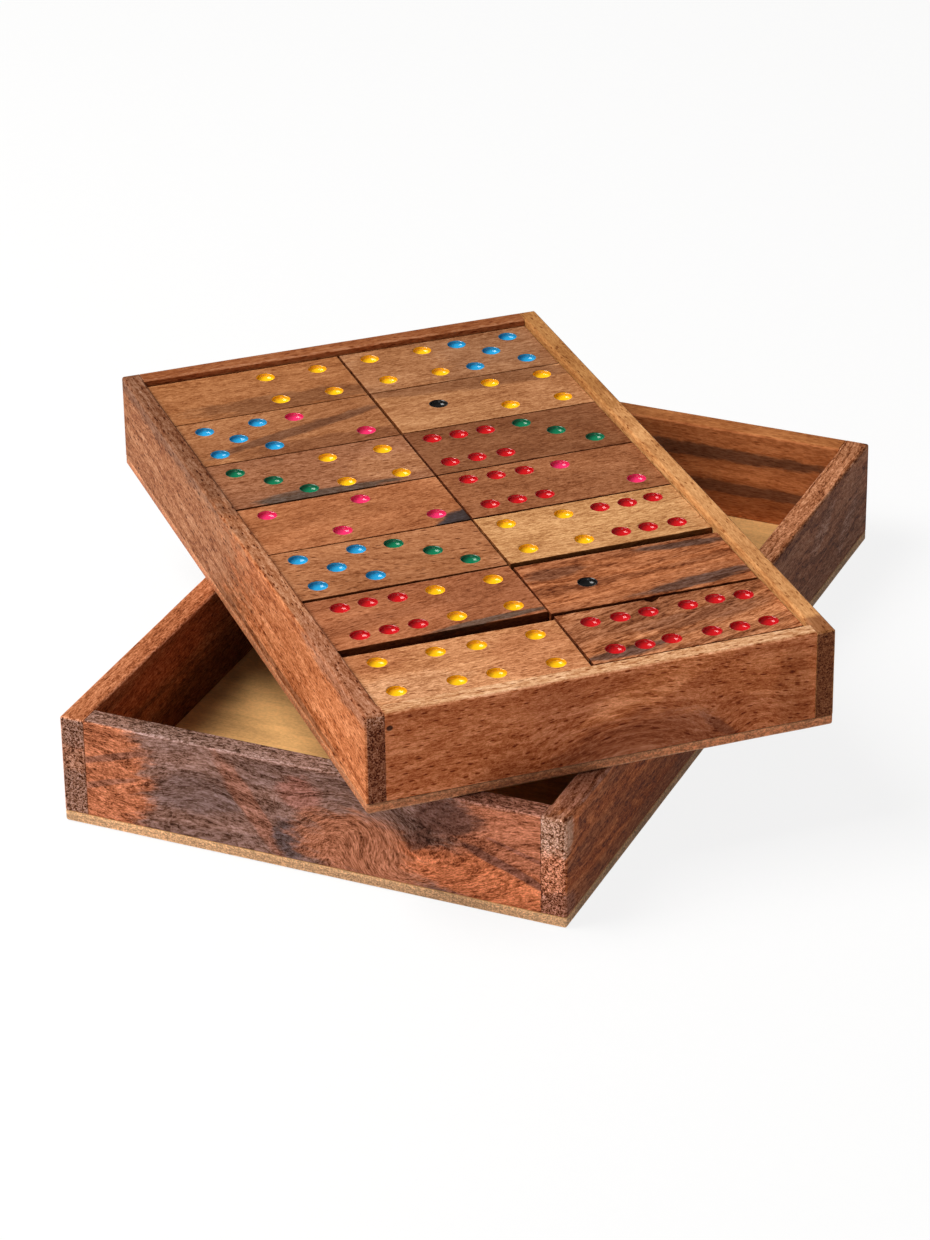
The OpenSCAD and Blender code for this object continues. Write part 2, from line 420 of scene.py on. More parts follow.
# Dark growth lines, which fade in and out along their length
curl = clouds(grain, seeded, (0.09, 0.14, 0.14), roughness=0.6)
wobble = clouds(grain, seeded, (0.06, 0.25, 0.25))
spread = plus(grain, radius, times(grain, wobble, 5.0))
line = stripes(grain, maths(grain, "DIVIDE", spread, given["Line spacing"]), 1.0, 0.5)
line = times(grain, ranged(grain, line, 0.44, 0.62), ranged(grain, curl, 0.35, 0.6, 0.45, 1.0))
line = times(grain, maths(grain, "SUBTRACT", 0.3, line), given["Lines"])
mottle = plus(grain, mottle, line)

# Open pores, longer along the grain than across it
pore_place = vector_maths(grain, "MULTIPLY", seeded_wavy, (0.3, 1.2, 1.2))
pore = add(grain, "ShaderNodeTexVoronoi", {"Vector": pore_place, "Scale": 1.0}, feature="F1").outputs[0]
pore = ranged(grain, pore, 0.3, 0.12)
pore_dark = times(grain, pore, times(grain, given["Pores"], 0.5))
brightness = plus(grain, streaks, plus(grain, mottle, ranged(grain, curl, 0.3, 0.7, 0.88, 1.12)))
brightness = times(grain, brightness, maths(grain, "SUBTRACT", 1.0, pore_dark))
grain.links.new(maths(grain, "MAXIMUM", brightness, 0.15), result["Tone"])
grain.links.new(maths(grain, "SUBTRACT", fine, times(grain, pore, 0.8)), result["Height"])


def rotated(tree, vector, angle, centre=(0, 0, 0)):
    """A place turned by an angle about a centre, in the plane of the plank's face."""
    inputs = {"Vector": vector, "Center": centre, "Angle": angle}
    return add(tree, "ShaderNodeVectorRotate", inputs, rotation_type="Z_AXIS").outputs[0]


# Patches and marks go right through a plank: their half size in depth, in mm
THROUGH = 1000.0

patch, given, result = new_group(
    "Heartwood patch",
    [
        ("Vector", "Vector", None),
        ("Centre", "Vector", (0.0, 0.0, 0.0)),
        ("Tilt", "Float", 0.0),
        ("Half size", "Vector", (10.0, 3.0, THROUGH)),
        ("Softness", "Float", 0.25),
        ("Raggedness", "Float", 0.7),
        ("Strength", "Float", 1.0),
    ],
    [("Mask", "Float")],
)
turned = rotated(patch, given["Vector"], times(patch, given["Tilt"], -1.0), given["Centre"])
offset = vector_maths(patch, "SUBTRACT", turned, given["Centre"])
distance = vector_length(patch, vector_maths(patch, "DIVIDE", offset, given["Half size"]))
frayed = clouds(patch, turned, (0.14, 0.5, 0.5), detail=4.0, roughness=0.65)
frayed = times(patch, maths(patch, "SUBTRACT", frayed, 0.5), given["Raggedness"])
distance = plus(patch, distance, times(patch, frayed, 2.0))
outer = plus(patch, 1.0, given["Softness"])
inner = maths(patch, "SUBTRACT", 1.0, given["Softness"])
mask = ranged(patch, distance, outer, inner)
patch.links.new(times(patch, mask, given["Strength"]), result["Mask"])

knot, given, result = new_group(
    "Knot",
    [
        ("Vector", "Vector", None),
        ("Centre", "Vector", (0.0, 0.0, 0.0)),
        ("Radius", "Float", 10.0),
        ("Twist", "Float", 1.0),
        ("Bulge", "Float", 0.0),
    ],
    [("Turn", "Float"), ("Spread", "Float")],
)
from_centre = vector_maths(knot, "SUBTRACT", given["Vector"], given["Centre"])
from_centre = vector_length(knot, vector_maths(knot, "MULTIPLY", from_centre, (1.0, 1.0, 0.0)))
reach = maths(knot, "DIVIDE", from_centre, given["Radius"])
fall_off = maths(knot, "EXPONENT", times(knot, times(knot, reach, reach), -1.0))
knot.links.new(times(knot, fall_off, given["Twist"]), result["Turn"])
spread = maths(knot, "SUBTRACT", 1.0, times(knot, fall_off, given["Bulge"]))
knot.links.new(spread, result["Spread"])


def knotted(tree, place, knots):
    """A place as the grain has it, which is twisted and spread round each knot."""
    for x, y, radius, twist, bulge in knots:
        middle = (x, y, 0)
        bent = from_group(tree, knot, vector=place, centre=middle, radius=radius, twist=twist, bulge=bulge)
        arm = vector_maths(tree, "SUBTRACT", rotated(tree, place, bent["Turn"], middle), middle)
        place = vector_maths(tree, "ADD", scaled(tree, arm, bent["Spread"]), middle)
    return place


def blotted(tree, place, colour, blots):
    """A colour with each of the blots laid over it in turn."""
    for x, y, half_length, half_width, tilt, tint, strength in blots:
        blot = from_group(
            tree, patch, vector=place, centre=(x, y, 0), half_size=(half_length, half_width, THROUGH),
            tilt=radians(tilt), strength=strength,
        )
        colour = mixed(tree, blot["Mask"], colour, (*tint, 1))
    return colour


# How much faster than red the green and the blue fall where the wood gets darker
GREEN_FALL, BLUE_FALL = 0.4, 0.8
# How much of a side's own colour covers the grain's colour there
SIDE_SHARE = 0.9
# A plank on edge: its pattern's X runs along it, its Y runs up it
ALONG_X = (pi / 2, 0.0, 0.0)
ALONG_Y = (pi / 2, 0.0, pi / 2)


def wood(
    name, centre, turns, light, dark, patches=(), knots=(), sides=None, marks=(), slant=0.0, worn=0.2,
    flanks=1.0, warmth=1.0, **looks
):
    """Material of one piece of rain tree, measured in millimetres from the piece's centre. Patches are
    (x, y, half length, half width, tilt in degrees, colour, strength), knots (x, y, radius, twist, bulge).
    The rim, ends, front and back may have their own colours, under marks of the same form as patches.
    The grain rises by slant degrees. Arrises get lighter by one share, partly rubbed wood and partly a
    painted highlight, or darker by a negative share, a painted shade; a block's sides are darkened to a given
    brightness, a painted shade of the gaps between blocks; and warmth is how much redder the wood gets where
    it is darker."""
    material, tree, shader, place, facing = new_material(name, centre, turns, roughness=0.65, gloss=0.06)
    grown = knotted(tree, rotated(tree, place, radians(-slant)), knots)
    body = from_group(
        tree, grain, vector=grown, normal=facing, light=(*light, 1), dark=(*dark, 1), **looks
    )
    colour = blotted(tree, place, body["Color"], patches)
    for side, tint in (sides or {}).items():
        colour = mixed(tree, times(tree, body[side.capitalize()], SIDE_SHARE), colour, (*tint, 1))
    colour = blotted(tree, place, colour, marks)
    # Arrises lighter by a positive share: rubbed wood and partly a painted highlight; darker by a negative
    # one: painted shade
    tone = times(tree, body["Tone"], plus(tree, 1.0, times(tree, body["Edges"], worn)))
    # A block's sides darkened below its top and bottom: painted shade of the narrow gaps between blocks
    if flanks < 1:
        sanded = maths(tree, "MAXIMUM", body["Front"], body["Back"])
        tone = times(tree, tone, ranged(tree, sanded, 0.0, 1.0, flanks, 1.0))
    green = maths(tree, "POWER", tone, 1 + GREEN_FALL * warmth)
    blue = maths(tree, "POWER", tone, 1 + BLUE_FALL * warmth)
    colour = vector_maths(tree, "MULTIPLY", colour, vector_of(tree, tone, green, blue))
    coloured(tree, shader, colour, body["Height"], strength=0.4, depth=0.12 * MM)
    return material


# How finely a plank is cut up, so that its faces can be uneven
PLANK_STEP = (8 * MM, 8 * MM, 5 * MM)


def plank_walls(box, walls, turn, arris, unevenness):
    """Makes the four walls of a box of planks, each with its own looks."""
    for side, looks in walls.items():
        node = f"{box}_{side}_wall"
        look = dict(looks)
        slot = look.pop("slot")
        lean, roll, heading = look.pop("turns")
        centre, size = own_box(node, turn)
        piece = sanded_copy(node, turn, arris, unevenness, PLANK_STEP, look["seed"])
        material = wood(node.replace("_", " "), centre, (lean, roll, heading + turn), **look)
        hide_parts(node)
        dressed(piece, material, box)


# Red heart, and heart that has gone nearly black
RED = (0.475, 0.152, 0.068)
COAL = (0.15, 0.085, 0.072)

COVER_WALLS = {
    "front": dict(
        turns=ALONG_X, slot="heartwood", light=(0.285, 0.142, 0.102), dark=(0.162, 0.088, 0.071), figure=0.9,
        # Its arrises are lighter: rubbed wood and partly a painted highlight
        figure_width=5.0, wave=8.0, seed=11.0, speckle=0.52, lines=0.5, line_spacing=1.1, worn=0.35,
        warmth=0.6, rim_speckle=0.5,
        sides=dict(rim=(0.19, 0.105, 0.077)),
        knots=[(-50, 0, 13, 0.35, 0), (-26, -8, 17, 0, 0.5), (15, -5, 11, 1.6, 0.45), (46, -3, 17, -0.45, 0)],
        patches=[
            (-51, 2, 12, 18, 12, RED, 1.0),
            (-48, 4, 11, 0.9, 18, (0.213, 0.082, 0.051), 0.8),
            (-50, -3, 9, 0.8, 18, (0.213, 0.082, 0.051), 0.7),
            (-27, -1, 11, 5, 5, COAL, 0.7),
            (-14, -1, 12, 2.6, -56, (0.29, 0.115, 0.072), 0.9),
            (-5, -7, 3.5, 5, 10, (0.098, 0.061, 0.057), 0.9),
            (-2, 5, 5, 4, 0, (0.27, 0.1, 0.068), 0.8),
            (13, -6, 16, 8, -5, (0.39, 0.132, 0.062), 0.85),
            (48, 3, 17, 12, 0, (0.42, 0.134, 0.064), 0.95),
            (43, -8, 20, 6, -10, (0.55, 0.157, 0.061), 0.95),
            (32, 6.5, 8, 4.5, 5, (0.125, 0.05, 0.034), 0.92),
            (26, 0, 3.5, 2.2, 40, (0.15, 0.06, 0.04), 0.85),
            (46, -2.5, 12, 1.1, -20, (0.165, 0.06, 0.04), 0.85),
            (50, 1.5, 8, 0.5, -16, (0.25, 0.085, 0.055), 0.7),
        ],
        marks=[(45, 12.5, 16, 1.2, 0, (0.26, 0.095, 0.055), 0.8)],
    ),
    "back": dict(
        turns=ALONG_X, slot="redwood", light=(0.535, 0.175, 0.057), dark=(0.262, 0.078, 0.025), figure=0.9,
        figure_width=5.0, wave=5.0, seed=4.0, speckle=0.05, fibre=0.65, pores=0.6, worn=0.0,
        sides=dict(rim=(0.372, 0.131, 0.039)),
        patches=[
            (10, 5, 50, 1.8, 0, (0.13, 0.05, 0.025), 0.9),
            (30, -4, 40, 1.5, 0, (0.13, 0.05, 0.025), 0.8),
        ],
    ),
    "left": dict(
        turns=ALONG_Y, slot="sidewood", light=(0.6, 0.21, 0.085), dark=(0.3, 0.1, 0.05), figure=0.8,
        figure_width=5.0, wave=6.0, seed=7.0, speckle=0.45, lines=0.2,
        # The inner face (front) is darker: partly dark heart, partly painted shade
        sides=dict(front=(0.23, 0.075, 0.031), rim=(0.36, 0.118, 0.046), ends=(0.21, 0.097, 0.061)),
        marks=[
            (-98, 2, 4, 3, 0, (0.34, 0.125, 0.06), 0.6),
            (-55, 6, 40, 3.5, 2, (0.3, 0.07, 0.025), 0.5),
            (-40, -7, 36, 5.5, 1, (0.1, 0.033, 0.013), 0.75),
            (-50, 0, 42, 0.7, -1, (0.11, 0.034, 0.013), 0.6),
        ],
    ),
    "right": dict(
        turns=ALONG_Y, slot="heartwood", light=(0.41, 0.104, 0.028), dark=(0.21, 0.067, 0.027), figure=0.9,
        figure_width=4.0, wave=6.0, seed=9.0, speckle=0.5, lines=0.55,
        sides=dict(rim=(0.42, 0.16, 0.07), ends=(0.49, 0.17, 0.083)),
        patches=[
            (60, 0, 50, 20, 0, (0.2, 0.081, 0.041), 0.8),
            (64, 4, 9, 3, 25, (0.3, 0.15, 0.1), 0.5),
            (83, -3, 8, 3, 30, (0.29, 0.145, 0.097), 0.5),
        ],
        marks=[
            (-98, 8, 4, 4.5, 0, (0.4, 0.215, 0.135), 0.75),
            (-98, -10, 4, 3.5, 0, (0.25, 0.09, 0.05), 0.8),
            (-74, 12.5, 26, 1.4, 0, (0.2, 0.072, 0.04), 0.9),
            (94, 11.5, 6, 3, 0, (0.3, 0.11, 0.045), 0.8),
        ],
    ),
}
plank_walls("cover", COVER_WALLS, 0.0, arris=0.2 * MM, unevenness=0.08 * MM)


# ---------------------------------------------------------------------------------------------
# Tray floor. A thinner sheet of the same plywood under the tray's walls, cut with a coarse saw
# and left rough at its edge.

# The tray is longest along its own Y, so its turn is a quarter turn away from that
tray_turn = own_turn("tray_floor") % (pi / 2)
tray_floor = sanded_copy(
    "tray_floor", tray_turn, arris=0.25 * MM, unevenness=0.1 * MM, step=(6 * MM, 6 * MM, 0.6 * MM), seed=2.0,
    corner=0.8 * MM,
)
tray_plywood = plywood(
    "tray plywood", "tray_floor", tray_turn, face=(0.36, 0.2, 0.105), edge=(0.47, 0.19, 0.087),
    core=(0.43, 0.155, 0.067), seed=8.0,
)
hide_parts("tray_floor")
dressed(tray_floor, tray_plywood, "tray")


# ---------------------------------------------------------------------------------------------
# Tray walls. Thinner planks than the cover's, glued in the same way: the sides run the full
# length and show their dark end grain at the front, and the short walls sit between them.

TRAY_WALLS = {
    "front": dict(
        turns=ALONG_X, slot="sidewood", light=(0.52, 0.16, 0.06), dark=(0.37, 0.102, 0.037), figure=0.5,
        figure_width=7.0, wave=8.0, seed=21.0, speckle=0.26, fibre=0.6, lines=0.3, pores=1.3, warmth=1.5,
        sides=dict(rim=(0.585, 0.303, 0.146)),
        knots=[(6, -15, 20, 0, 0.65), (28, -10, 9, -0.5, 0.2)],
        patches=[
            (-33, 1, 15, 9, 0, (0.54, 0.17, 0.062), 0.5),
            (-9, 2, 6, 14, 20, (0.42, 0.125, 0.05), 0.4),
            (14, 6, 20, 3.5, 22, (0.68, 0.235, 0.09), 0.6),
            (38, 3, 14, 5, -8, (0.55, 0.17, 0.058), 0.5),
            (9, -10, 19, 8.5, 4, (0.285, 0.084, 0.036), 0.8),
            (44, -4, 4, 12, 0, (0.31, 0.083, 0.026), 0.6),
            (27, -8, 6, 1.2, -40, (0.17, 0.05, 0.025), 0.6),
        ],
        marks=[(-48, 7, 0.7, 0.7, 0, (0.06, 0.02, 0.01), 1.0)],
    ),
    "back": dict(
        turns=ALONG_X, slot="redwood", light=(0.42, 0.16, 0.07), dark=(0.3, 0.1, 0.045), figure=0.6,
        figure_width=5.0, wave=6.0, seed=22.0, speckle=0.1, fibre=0.7, warmth=1.5,
        # The inner face (front) is darker: partly dark red heart, partly painted shade
        sides=dict(rim=(0.26, 0.08, 0.025), front=(0.3, 0.085, 0.025)),
    ),
    "left": dict(
        turns=ALONG_Y, slot="sidewood", light=(0.56, 0.184, 0.067), dark=(0.39, 0.121, 0.042), figure=0.7,
        figure_width=5.0, wave=6.0, seed=23.0, speckle=0.34, fibre=0.8, lines=0.4, pores=1.6, slant=3.0,
        # Its arrises are a little darker: painted shade
        worn=-0.1, warmth=1.4,
        sides=dict(rim=(0.33, 0.13, 0.058), ends=(0.147, 0.0395, 0.016)),
        patches=[
            (64, 0, 70, 25, 0, (0.293, 0.116, 0.05), 0.85),
            (-30, -9, 45, 1, 0, (0.2, 0.07, 0.03), 0.7),
        ],
        marks=[
            (65, 11, 55, 4, 0, (0.19, 0.076, 0.037), 0.9),
            (-75, 11, 30, 4, 0, (0.34, 0.132, 0.066), 0.9),
        ],
    ),
    "right": dict(
        turns=ALONG_Y, slot="sapwood", light=(0.6, 0.28, 0.1), dark=(0.46, 0.2, 0.065), figure=0.6,
        # Its arrises are a little darker: painted shade
        figure_width=5.0, wave=5.0, seed=24.0, speckle=0.08, fibre=0.55, worn=-0.05,
        sides=dict(rim=(0.55, 0.255, 0.095), ends=(0.117, 0.0247, 0.009)),
        marks=[
            (75, 11, 45, 4, 0, (0.37, 0.155, 0.045), 0.9),
            (-87, 11, 3.5, 2, 0, (0.25, 0.09, 0.035), 0.8),
        ],
    ),
}
plank_walls("tray", TRAY_WALLS, tray_turn, arris=0.12 * MM, unevenness=0.07 * MM)


# ---------------------------------------------------------------------------------------------
# Dominoes. Each is a block sawn from offcuts of the same wood, sanded round along its edges and
# drilled with a ball-ended bit for its pips. The blocks lie in two layers and two columns.

PIP_WIDTH = 4.7 * MM
PIP_DEPTH = 1.5 * MM
PIP_SPACING = 6.7 * MM
HALF_SPACING = 22.4 * MM
# How much wider a pip is at the very rim, where the bit has broken the edge
RIM_FLARE = 0.07 * MM
# How far the pips of the upper dominoes were drilled off their centre, along and across, in mm
OFF_CENTRE = {
    "0_4": (-0.4, 0.0), "5_2": (-0.5, -0.1), "3_4": (-0.3, -0.4), "2_2": (-0.1, 0.5), "5_3": (-0.3, 0.7),
    "6_4": (0.6, 0.2), "4_4": (0.1, 0.3), "4_5": (0.3, 0.8), "1_4": (0.4, 0.6), "6_3": (-0.8, 0.5),
    "6_2": (-0.2, 0.5), "4_6": (0.0, 0.4), "1_0": (-0.2, -0.3), "6_6": (0.3, -0.3),
}


def lathed(name, outline, segments=32, wobble=0.0):
    """A round surface from an outline of (radius, height), with one point where it meets the axis."""
    mesh = bmesh.new()
    rings = []
    for radius, height in outline:
        if radius == 0:
            rings.append([mesh.verts.new((0, 0, height))])
            continue
        ring = []
        for i in range(segments):
            angle = 2 * pi * i / segments
            around = Vector((cos(angle), sin(angle), 0))
            reach = radius * (1 + wobble * noise.noise(around * 1.7))
            ring.append(mesh.verts.new(around * reach + Vector((0, 0, height))))
        rings.append(ring)
    for lower, upper in zip(rings, rings[1:]):
        for i in range(segments):
            j = (i + 1) % segments
            corners = [lower[i % len(lower)], lower[j % len(lower)]]
            corners += [upper[j % len(upper)], upper[i % len(upper)]]
            mesh.faces.new(list(dict.fromkeys(corners)))
    bmesh.ops.recalc_face_normals(mesh, faces=mesh.faces)
    return as_object(mesh, name)


def bowl_outline(mouth_radius, depth, steps):
    """Points of a bowl's wall, steep at its mouth and flat at its lowest point, from there upwards."""
    angles = [pi / 2 * i / steps for i in range(steps + 1)]
    return [(mouth_radius * sin(t) ** 0.75, -depth * max(cos(t), 0.0) ** 0.75) for t in angles]


bore_radius = PIP_WIDTH / 2 - RIM_FLARE
shank = [(bore_radius, -0.05 * MM), (PIP_WIDTH / 2, 0.04 * MM), (PIP_WIDTH / 2, 1 * MM), (0, 1 * MM)]
drill = lathed("drill", bowl_outline(bore_radius, PIP_DEPTH, 8)[:-1] + shank)

half_pips, given, result = new_group(
    "Pips of one half",
    [
        ("Count", "Int", 1),
        ("Spacing", "Float", PIP_SPACING),
        ("Drift", "Float", 0.25 * MM),
        ("Seed", "Int", 1),
    ],
    [("Points", "Geometry")],
    "GeometryNodeTree",
)
# Places for one pip, a slanting row of two or three, and two rows that make four or six
behind = times(half_pips, given["Spacing"], -1.0)
across = times(half_pips, given["Spacing"], 2.0)
one = add(half_pips, "GeometryNodeMeshLine", {"Count": 1}).outputs[0]
row = {
    "Count": given["Count"],
    "Start Location": vector_of(half_pips, behind, given["Spacing"]),
    "Offset": vector_of(half_pips, given["Spacing"], behind),
}
slanting = add(half_pips, "GeometryNodeMeshLine", row, mode="END_POINTS").outputs[0]
rows = {"Size X": across, "Size Y": across, "Vertices Y": 2}
four, six = [
    add(half_pips, "GeometryNodeMeshGrid", {**rows, "Vertices X": columns}).outputs[0] for columns in (2, 3)
]
five = add(half_pips, "GeometryNodeJoinGeometry")
for part in (four, one):
    half_pips.links.new(part, five.inputs[0])
patterns = (None, one, slanting, slanting, four, five.outputs[0], six)
chosen = add(half_pips, "GeometryNodeIndexSwitch", data_type="GEOMETRY")
while len(chosen.index_switch_items) < len(patterns):
    chosen.index_switch_items.new()
half_pips.links.new(given["Count"], chosen.inputs["Index"])
for count, pattern in enumerate(patterns):
    if pattern is not None:
        half_pips.links.new(pattern, chosen.inputs[count + 1])
# Each pip is drilled by hand, so it is a little off its place
span = {0: (-1, -1, 0), 1: (1, 1, 0), "Seed": given["Seed"]}
astray = add(half_pips, "FunctionNodeRandomValue", span, data_type="FLOAT_VECTOR").outputs[0]
moved = {"Geometry": chosen.outputs[0], "Offset": scaled(half_pips, astray, given["Drift"])}
by_hand = add(half_pips, "GeometryNodeSetPosition", moved)
half_pips.links.new(by_hand.outputs[0], result["Points"])


def placed(tree, geometry, offset):
    """Geometry moved by an offset."""
    return add(tree, "GeometryNodeTransform", {"Geometry": geometry, "Translation": offset}).outputs[0]


def at_points(tree, points, solid, turn=(0, 0, 0)):
    """A solid, set out at each of the points with a turn."""
    inputs = {"Points": points, "Instance": solid, "Rotation": turn}
    return add(tree, "GeometryNodeInstanceOnPoints", inputs).outputs[0]


def made_real(tree, geometry):
    """Geometry whose instances are plain meshes."""
    return add(tree, "GeometryNodeRealizeInstances", {"Geometry": geometry}).outputs[0]


def in_material(tree, geometry, material):
    """Geometry in a material."""
    return add(tree, "GeometryNodeSetMaterial", {"Geometry": geometry, "Material": material}).outputs[0]


def shape_of(tree, solid):
    """The geometry of an object, as it is at its own origin."""
    node = add(tree, "GeometryNodeObjectInfo", {"Object": solid}, transform_space="ORIGINAL")
    return node.outputs["Geometry"]


drilled, given, result = new_group(
    "Drilled domino",
    [
        ("Geometry", "Geometry", None),
        ("Left count", "Int", 1),
        ("Right count", "Int", 1),
        ("Pip spacing", "Float", PIP_SPACING),
        ("Half spacing", "Float", HALF_SPACING),
        ("Off centre", "Vector", (0.0, 0.0, 0.0)),
        ("Seed", "Int", 1),
        ("Drill", "Object", None),
        ("Wood", "Material", None),
    ],
    [("Geometry", "Geometry")],
    "GeometryNodeTree",
)
places = add(drilled, "GeometryNodeJoinGeometry")
for side, count in enumerate(("Left count", "Right count")):
    seed = plus(drilled, given["Seed"], side)
    half = from_group(drilled, half_pips, count=given[count], spacing=given["Pip spacing"], seed=seed)[0]
    middle = vector_of(drilled, times(drilled, given["Half spacing"], side - 0.5))
    drilled.links.new(placed(drilled, half, middle), places.inputs[0])
holes = placed(drilled, places.outputs[0], given["Off centre"])
holes = made_real(drilled, at_points(drilled, holes, shape_of(drilled, given["Drill"])))
meshes = {"Mesh 1": given["Geometry"], "Mesh 2": holes}
cut = add(drilled, "GeometryNodeMeshBoolean", meshes, operation="DIFFERENCE", solver="EXACT").outputs[0]
drilled.links.new(in_material(drilled, made_real(drilled, cut), given["Wood"]), result["Geometry"])


def set_inputs(modifier, **values):
    """Sets a Geometry Nodes modifier's named inputs by their identifiers."""
    for item in modifier.node_group.interface.items_tree:
        key = item.name.replace(" ", "_").lower()
        if item.in_out == "INPUT" and key in values:
            modifier[item.identifier] = values[key]


# How finely a block is cut up, so that its faces can be uneven
BLOCK_STEP = (2.2 * MM, 2.6 * MM, 3 * MM)
# Depth in mm of the long hollows in a block's faces and of the short dents in its edges
HOLLOW_DEPTH, DENT_DEPTH = 0.06, 0.5
HOLLOW_LENGTH, DENT_LENGTH = 11 * MM, 2.5 * MM
# How far from an upper edge a nick reaches, in mm, and where along it the block is cut to take it
NICK_REACH = 1.2
NICK_CUTS = (-1.0, -0.7, -0.35, 0.0, 0.35, 0.7, 1.0)


def sawn_block(name, size, arris, seed, nicks=()):
    """A sanded block, its top face at height 0, with edges dented unevenly. Nicks are (x, y, half length,
    depth) in mm, chipped out of its upper edges."""
    mesh = bmesh.new()
    bmesh.ops.create_cube(mesh, size=1.0)
    bmesh.ops.scale(mesh, vec=size, verts=mesh.verts)
    rounded(mesh, upright_edges(mesh, 0.1 * MM), 0.8 * arris, 3)
    rounded(mesh, sharp_edges(mesh, 50), arris, 3)
    slice_evenly(mesh, 0.0, Vector(), size, BLOCK_STEP)
    for x, y, half_length, depth in nicks:
        for share in NICK_CUTS:
            slice_at(mesh, Vector(((x + share * half_length) * MM, 0, 0)), (1, 0, 0))
    off = Vector((seed * 3.7, seed * 1.3, 0))

    def wear(v):
        slow = 0.5 + 0.5 * noise.noise(v.co / HOLLOW_LENGTH + off)
        quick = max(0.0, noise.noise(v.co / DENT_LENGTH - off)) ** 2
        on_edge = max(abs(c) for c in v.normal) < 0.98
        return HOLLOW_DEPTH * slow + (DENT_DEPTH * quick if on_edge else 0.0)

    worn_down(mesh, MM, wear)
    for x, y, half_length, depth in nicks:
        inward = Vector((0, -1 if y > 0 else 1, -1))
        for v in mesh.verts:
            share = 1 - abs(v.co.x / MM - x) / half_length
            near_edge = abs(v.co.y / MM - y) < NICK_REACH and v.co.z > size.z / 2 - NICK_REACH * MM
            if share > 0 and near_edge:
                v.co += inward * depth * MM * share ** 0.6
    for v in mesh.verts:
        v.co.z -= size.z / 2
    return as_object(mesh, name)


# A streak of the darkest heart
SMOKE = (0.1, 0.062, 0.044)

DOMINO_WOODS = {
    "0_4": dict(
        slot="sidewood", light=(0.361, 0.14, 0.051), dark=(0.294, 0.106, 0.037), pores=0.5,
        patches=[(6, -7.5, 26, 4, 0, (0.197, 0.075, 0.03), 0.85)],
    ),
    "5_2": dict(
        slot="sapwood", light=(0.346, 0.138, 0.054), dark=(0.264, 0.096, 0.037), pores=0.5, slant=12.0,
        patches=[
            (8, -9, 24, 3.5, 0, (0.198, 0.07, 0.028), 0.8),
            (2, -1, 26, 2, 16, (0.123, 0.049, 0.025), 0.8),
        ],
    ),
    "3_4": dict(
        slot="redwood", light=(0.333, 0.132, 0.06), dark=(0.219, 0.082, 0.039), speckle=0.3,
        patches=[
            (18, -3, 12, 6, 0, (0.421, 0.182, 0.081), 0.7),
            (-2, -10.5, 18, 1.7, 0, SMOKE, 0.95),
            (-11, -9.8, 8, 2.2, 4, SMOKE, 0.85),
        ],
    ),
    "2_2": dict(
        slot="sidewood", light=(0.409, 0.146, 0.057), dark=(0.29, 0.097, 0.035), pores=0.7, slant=6.0,
        patches=[(23, -9.5, 7, 3.2, 25, (0.045, 0.03, 0.028), 1.0)],
    ),
    "5_3": dict(
        slot="redwood", light=(0.391, 0.152, 0.062), dark=(0.257, 0.092, 0.036), slant=-8.0, pores=1.4,
    ),
    "6_4": dict(
        slot="heartwood", light=(0.392, 0.133, 0.054), dark=(0.256, 0.082, 0.034), slant=9.0,
        patches=[
            (16, 0, 12, 14, 0, (0.281, 0.094, 0.039), 0.6),
            (12, -10.5, 13, 1.2, 3, SMOKE, 0.9),
        ],
    ),
    "4_4": dict(
        slot="sidewood", light=(0.554, 0.244, 0.105), dark=(0.398, 0.145, 0.054), speckle=0.3, slant=4.0,
        patches=[
            (-20, 8, 10, 6, 0, (0.389, 0.135, 0.052), 0.7),
            (-14, -6, 12, 6, 0, (0.6, 0.3, 0.15), 0.6),
            (16, -2, 11, 12, 0, (0.46, 0.165, 0.068), 0.5),
        ],
    ),
    "4_5": dict(
        slot="sidewood", light=(0.34, 0.15, 0.067), dark=(0.25, 0.105, 0.048), pores=0.5,
        patches=[(-14, 0, 12, 13, 0, (0.385, 0.164, 0.067), 0.75)],
    ),
    "1_4": dict(
        slot="sidewood", light=(0.408, 0.18, 0.073), dark=(0.345, 0.138, 0.054), pores=0.4,
        patches=[
            (14, -3, 12, 11, 0, (0.43, 0.186, 0.078), 0.7),
            (0, 10, 30, 4.5, -3, (0.227, 0.09, 0.038), 0.9),
        ],
    ),
    "6_3": dict(slot="heartwood", light=(0.227, 0.082, 0.033), dark=(0.176, 0.061, 0.024), pores=0.8),
    "6_2": dict(
        slot="redwood", light=(0.311, 0.113, 0.045), dark=(0.234, 0.081, 0.032), pores=0.8, speckle=0.3,
    ),
    "4_6": dict(slot="sapwood", light=(0.541, 0.266, 0.106), dark=(0.449, 0.203, 0.079), pores=0.5),
    "1_0": dict(
        slot="redwood", light=(0.42, 0.138, 0.05), dark=(0.192, 0.06, 0.024), figure=0.9,
        figure_width=2.6, lines=0.5, slant=7.0, fibre=1.1,
        patches=[
            (-17, 6, 8, 2.5, 6, (0.137, 0.053, 0.029), 0.7),
            (15, 9, 13, 1.4, -3, (0.088, 0.042, 0.028), 0.9),
            (13, -8, 16, 2.2, 8, (0.088, 0.044, 0.031), 0.9),
        ],
    ),
    "6_6": dict(
        slot="heartwood", light=(0.496, 0.179, 0.07), dark=(0.248, 0.088, 0.038), figure=0.9,
        figure_width=2.6, lines=0.45, slant=17.0, fibre=1.1, nicks=[(-1.5, 11.8, 1.8, 0.55)],
        patches=[
            (-16, -9, 10, 2, 6, (0.097, 0.046, 0.032), 0.9),
            (6, 1, 14, 3, 8, (0.177, 0.066, 0.034), 0.6),
        ],
    ),
}
